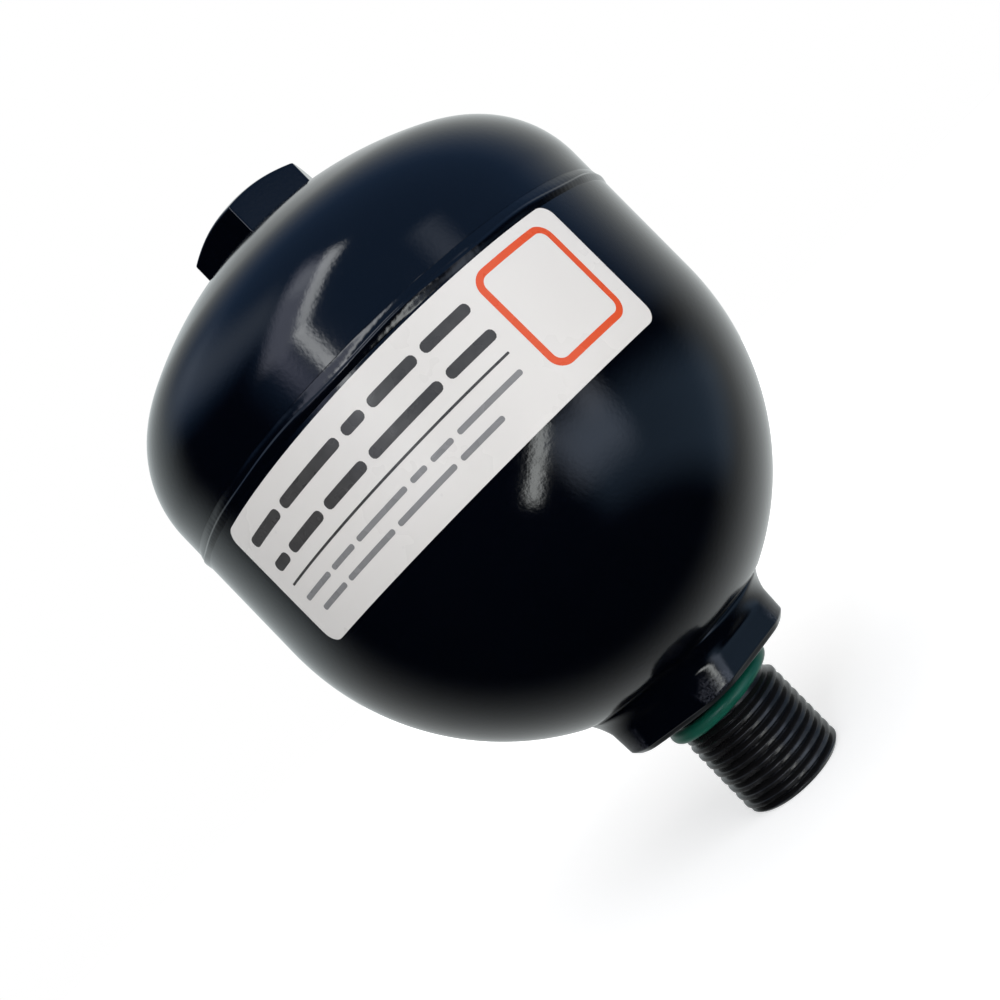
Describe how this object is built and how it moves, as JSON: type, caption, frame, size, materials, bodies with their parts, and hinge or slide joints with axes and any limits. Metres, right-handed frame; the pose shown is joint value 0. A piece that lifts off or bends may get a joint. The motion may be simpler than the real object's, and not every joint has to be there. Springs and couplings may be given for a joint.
{
  "type": "diaphragm accumulator",
  "caption": "Welded steel diaphragm accumulator with a threaded oil port stub on a hexagon boss, a hexagon gas plug, a seal ring on the stub and a printed sticker.",
  "frame": {"origin": "on the vessel's axis, in the plane of the hexagon boss's flat underside, which seats on the block that the port screws into", "axes": "+Z along the vessel's axis from the oil port up to the gas plug; the sticker faces -Y"},
  "size_m": [0.1028, 0.1028, 0.1475],
  "materials": {
    "enamel": "gloss navy-black enamel over steel",
    "black_steel": "black phosphated and oiled, semi-matt",
    "turned_steel": "bright turned steel",
    "black_rubber": "moulded nitrile rubber, matt",
    "green_rubber": "moulded green nitrile rubber, satin",
    "copper": "soft copper",
    "vinyl": "printed white vinyl film, satin"
  },
  "bodies": {
    "vessel": {"fluid_shell": "enamel", "gas_shell": "enamel", "girth_weld": "enamel", "clamp_ring": "black_steel", "gas_plug": "enamel", "gas_plug_seal": "black_rubber", "charging_screw": "turned_steel", "charging_screw_seal": "copper", "port_seal": "green_rubber", "label": "vinyl"},
    "closer": {"closing_button": "turned_steel", "diaphragm": "black_rubber"}
  },
  "joints": [
    {"name": "button_lift", "type": "slide", "parent": "vessel", "child": "closer", "axis": [0, 0, 1], "range_m": [0, 0.08], "deforming": ["diaphragm"]}
  ]
}
